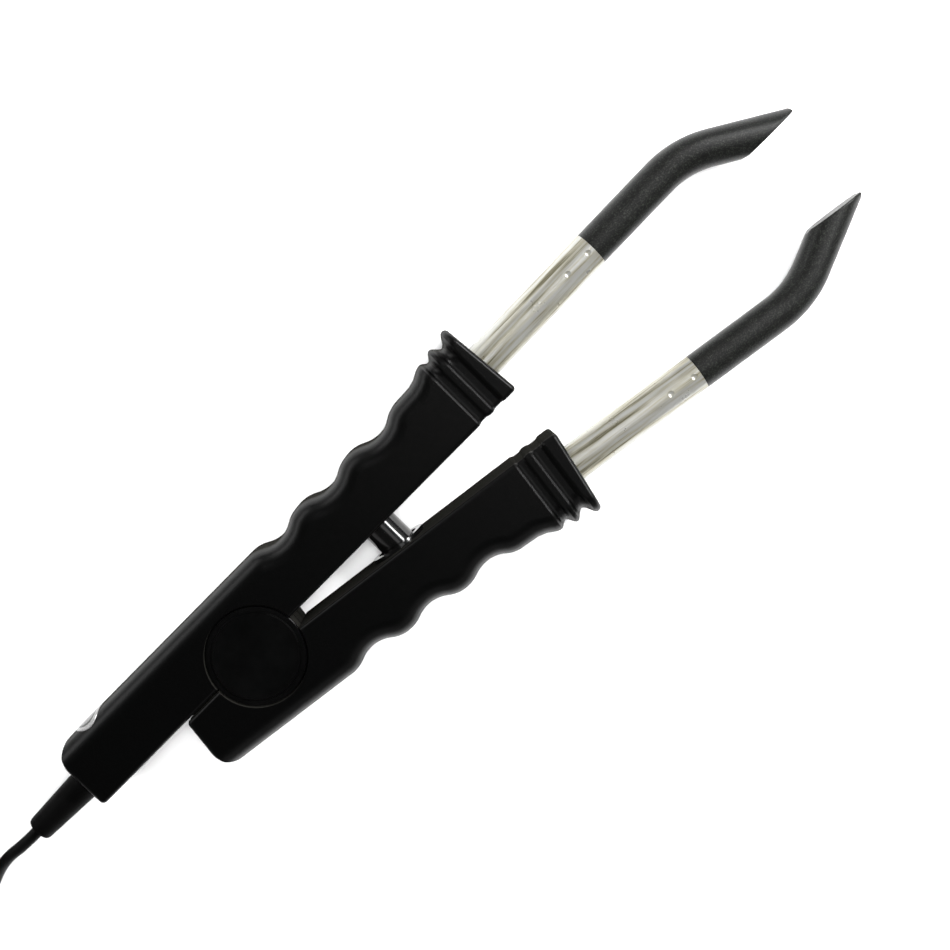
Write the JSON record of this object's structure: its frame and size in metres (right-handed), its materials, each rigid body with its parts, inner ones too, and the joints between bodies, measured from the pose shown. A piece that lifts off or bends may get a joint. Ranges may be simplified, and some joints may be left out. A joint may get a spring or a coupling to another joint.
{
  "type": "hair extension fusion iron",
  "caption": "Plier-type heated fusion iron lying open: two hinged black handles sprung apart, steel tubes with bent flat-faced coated tips, cord with strain relief and plug.",
  "frame": {"origin": "on the hinge axis, in the plane of the back faces that the tool lies on", "axes": "+Z along the hinge axis, up from the surface; +X from the hinge to the tips along the cord handle's meeting line; +Y towards the cord handle's outer, finger-grip edge"},
  "size_m": [0.3377, 0.1166, 0.022],
  "materials": {
    "handle_plastic": "black ABS, fine satin grain, polished crests",
    "cap_plastic": "black ABS, smooth satin",
    "post_plastic": "black nylon, glossy",
    "inner_plastic": "dark plastic, moulded",
    "collar_phenolic": "dark brown phenolic",
    "tube_steel": "stainless tube, lengthwise drawn lines",
    "tip_coating": "black non-stick coating, sandy, over cast aluminium",
    "heater_steel": "steel sheath",
    "lead_insulation": "off-white glass-fibre sleeve",
    "hardware_steel": "zinc-plated steel",
    "spring_steel": "spring wire",
    "relief_rubber": "black moulded PVC",
    "cord_rubber": "black PVC sheath",
    "tie_plastic": "black hook-and-loop strap",
    "plug_plastic": "black PVC, moulded",
    "pin_metal": "nickel-plated brass",
    "label_foil": "silver foil label, plain rings, no text"
  },
  "bodies": {
    "cord_body": {"cord_handle_back": "handle_plastic", "cord_handle_front": "handle_plastic", "hinge_cap_back": "cap_plastic", "hinge_cap_front": "cap_plastic", "spring_post": "post_plastic", "cord_clamp_bar": "inner_plastic", "cord_side_collar": "collar_phenolic", "cord_side_tube": "tube_steel", "cord_side_tip": "tip_coating", "cord_side_heater": "heater_steel", "cord_side_leads": "lead_insulation", "hinge_pin": "hardware_steel", "hinge_washers": "hardware_steel", "cord_side_screws": "hardware_steel", "cord_clamp_screws": "hardware_steel", "return_spring": "spring_steel", "strain_relief": "relief_rubber", "power_cord": "cord_rubber", "cord_inner_end": "cord_rubber", "cord_coil": "cord_rubber", "plug_lead": "cord_rubber", "cord_tie": "tie_plastic", "plug_body": "plug_plastic", "plug_pins": "pin_metal", "round_label": "label_foil"},
    "free_body": {"free_handle_back": "handle_plastic", "free_handle_front": "handle_plastic", "guide_ring": "post_plastic", "spring_cup": "inner_plastic", "free_side_collar": "collar_phenolic", "free_side_tube": "tube_steel", "free_side_tip": "tip_coating", "free_side_heater": "heater_steel", "free_side_leads": "lead_insulation", "free_side_screws": "hardware_steel"}
  },
  "joints": [
    {"name": "squeeze", "type": "hinge", "parent": "cord_body", "child": "free_body", "pos_m": [0, 0, 0], "axis": [0, 0, 1], "range_deg": [0, 7.75], "stiffness_Nm_per_rad": 1.3, "springref_deg": -7.45, "deforming": ["return_spring"]}
  ]
}
